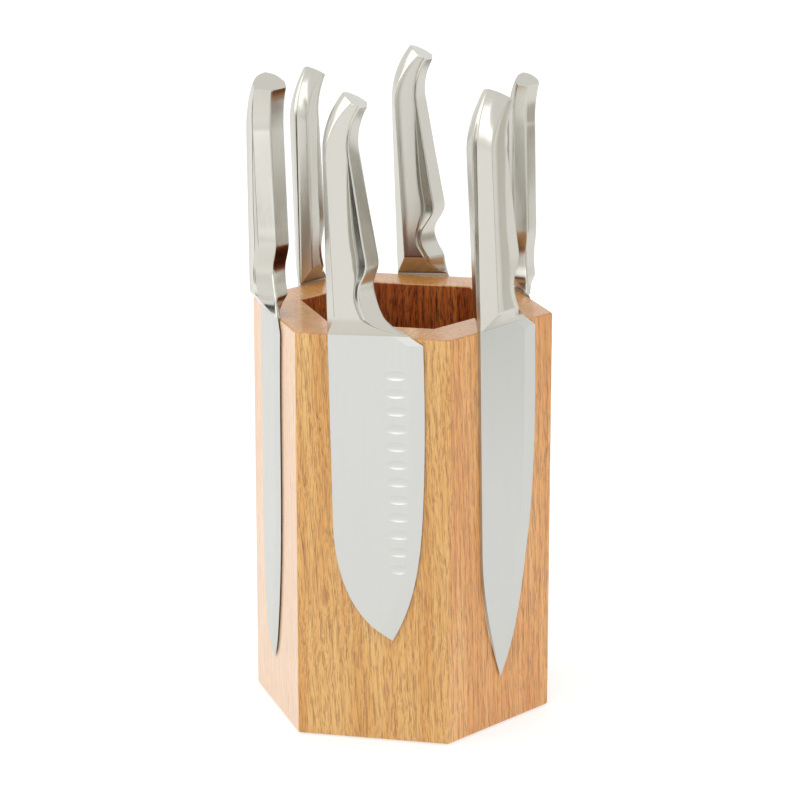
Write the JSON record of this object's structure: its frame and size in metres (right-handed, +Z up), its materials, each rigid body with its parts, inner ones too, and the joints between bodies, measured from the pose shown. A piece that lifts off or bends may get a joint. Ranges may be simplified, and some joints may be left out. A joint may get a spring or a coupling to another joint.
{
  "type": "knife block with knives",
  "caption": "Hexagonal wooden knife block, open in the middle, with kitchen knives held flat on its faces by hidden magnets.",
  "frame": {"origin": "centre of the underside of the rubber pad, on the plane the block stands on", "axes": "+Z up along the block's axis; the face that carries the santoku looks along -Y; +X to the right of someone facing it"},
  "size_m": [0.1702, 0.1674, 0.3631],
  "materials": {
    "oak": "lacquered, satin",
    "oak_inlay": "lacquered, satin",
    "oak_base": "sanded",
    "blade_steel": "satin ground",
    "handle_steel": "satin, fine brushed",
    "magnet": "sintered, matt",
    "zinc_steel": "zinc plated",
    "pad": "matt"
  },
  "bodies": {
    "block": {"wall_board_front": "oak", "magnets_front": "magnet", "keeper_plate_front": "zinc_steel", "channel_cover_front": "oak_inlay", "wall_board_front_right": "oak", "magnets_front_right": "magnet", "keeper_plate_front_right": "zinc_steel", "channel_cover_front_right": "oak_inlay", "wall_board_back_right": "oak", "magnets_back_right": "magnet", "keeper_plate_back_right": "zinc_steel", "channel_cover_back_right": "oak_inlay", "wall_board_back": "oak", "magnets_back": "magnet", "keeper_plate_back": "zinc_steel", "channel_cover_back": "oak_inlay", "wall_board_back_left": "oak", "magnets_back_left": "magnet", "keeper_plate_back_left": "zinc_steel", "channel_cover_back_left": "oak_inlay", "wall_board_front_left": "oak", "magnets_front_left": "magnet", "keeper_plate_front_left": "zinc_steel", "channel_cover_front_left": "oak_inlay", "base_board": "oak_base", "base_screws": "zinc_steel", "base_pad": "pad"},
    "santoku": {"santoku_blade": "blade_steel", "santoku_handle": "handle_steel", "santoku_butt_plate": "handle_steel"},
    "cooks_knife": {"cooks_knife_blade": "blade_steel", "cooks_knife_handle": "handle_steel", "cooks_knife_butt_plate": "handle_steel"},
    "paring_knife": {"paring_knife_blade": "blade_steel", "paring_knife_handle": "handle_steel", "paring_knife_butt_plate": "handle_steel"},
    "bread_knife": {"bread_knife_blade": "blade_steel", "bread_knife_handle": "handle_steel", "bread_knife_butt_plate": "handle_steel"},
    "utility_knife": {"utility_knife_blade": "blade_steel", "utility_knife_handle": "handle_steel", "utility_knife_butt_plate": "handle_steel"},
    "carving_knife": {"carving_knife_blade": "blade_steel", "carving_knife_handle": "handle_steel", "carving_knife_butt_plate": "handle_steel"}
  },
  "joints": [
    {"name": "santoku_pull", "type": "slide", "parent": "block", "child": "santoku", "axis": [0, -1, 0], "range_m": [0, 0.12]},
    {"name": "cooks_knife_pull", "type": "slide", "parent": "block", "child": "cooks_knife", "axis": [0.866, -0.5, 0], "range_m": [0, 0.12]},
    {"name": "paring_knife_pull", "type": "slide", "parent": "block", "child": "paring_knife", "axis": [0.866, 0.5, 0], "range_m": [0, 0.12]},
    {"name": "bread_knife_pull", "type": "slide", "parent": "block", "child": "bread_knife", "axis": [0, 1, 0], "range_m": [0, 0.12]},
    {"name": "utility_knife_pull", "type": "slide", "parent": "block", "child": "utility_knife", "axis": [-0.866, 0.5, 0], "range_m": [0, 0.12]},
    {"name": "carving_knife_pull", "type": "slide", "parent": "block", "child": "carving_knife", "axis": [-0.866, -0.5, 0], "range_m": [0, 0.12]}
  ]
}
